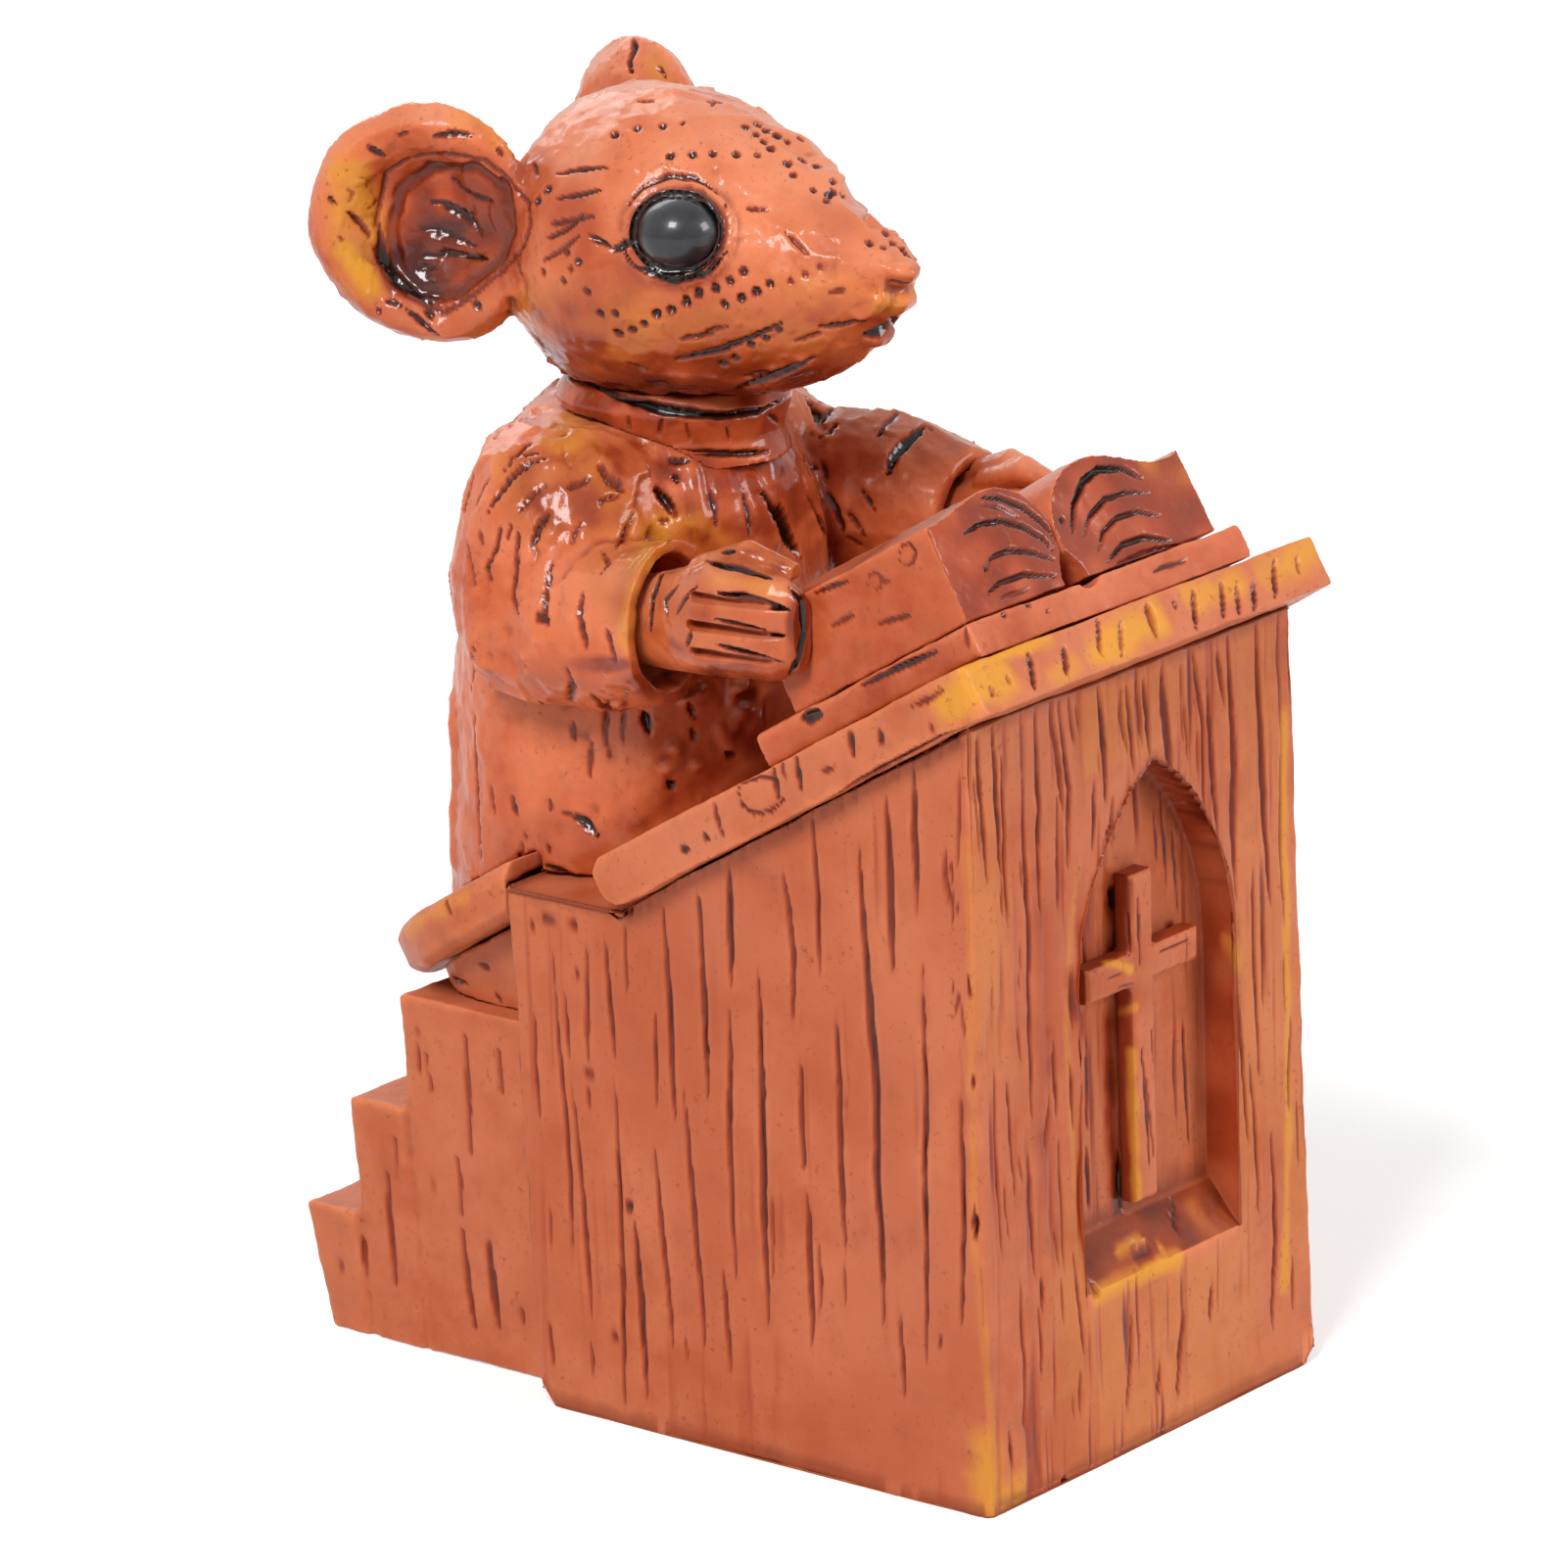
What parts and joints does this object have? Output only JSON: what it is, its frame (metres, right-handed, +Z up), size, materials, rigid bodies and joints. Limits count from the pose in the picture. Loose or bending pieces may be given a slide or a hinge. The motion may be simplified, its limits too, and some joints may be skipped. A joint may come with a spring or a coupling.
{
  "type": "mouse figurine",
  "caption": "Church mouse ornament: a mouse in a collared cassock stands on a landing and reads an open book on a sloping lectern with a pointed niche and cross.",
  "frame": {"origin": "on the surface that the ornament stands on, under the middle of its plan", "axes": "+Z up, the mouse reads towards -Y, where the lectern's front with the niche faces, and the mouse's right side is -X"},
  "size_m": [0.0311, 0.0523, 0.0712],
  "materials": {
    "carved_lectern": "cast resin, painted terracotta with a dark wash in the cuts and an uneven clear varnish",
    "carved_steps": "cast resin, painted terracotta with a dark wash in the cuts and an uneven clear varnish",
    "carved_book": "cast resin, painted terracotta with a dark wash in the cuts and an uneven clear varnish",
    "carved_robe": "cast resin, painted terracotta with a dark wash in the cuts and an uneven clear varnish",
    "carved_mouse": "cast resin, painted terracotta with a dark wash in the cuts and an uneven clear varnish",
    "bead_eyes": "charcoal paint under a clear gloss varnish"
  },
  "bodies": {
    "root": {"lectern_body": "carved_lectern", "niche_cross": "carved_lectern", "desk_board": "carved_lectern", "top_step": "carved_steps", "middle_step": "carved_steps", "bottom_step": "carved_steps", "landing_board": "carved_steps", "landing_corbel": "carved_steps", "book_cover": "carved_book", "right_pages": "carved_book", "left_pages": "carved_book", "cassock": "carved_robe", "collar": "carved_robe", "right_sleeve": "carved_robe", "left_sleeve": "carved_robe", "head": "carved_mouse", "right_ear": "carved_mouse", "left_ear": "carved_mouse", "right_hand": "carved_mouse", "left_hand": "carved_mouse", "right_eye": "bead_eyes", "left_eye": "bead_eyes"}
  },
  "joints": []
}
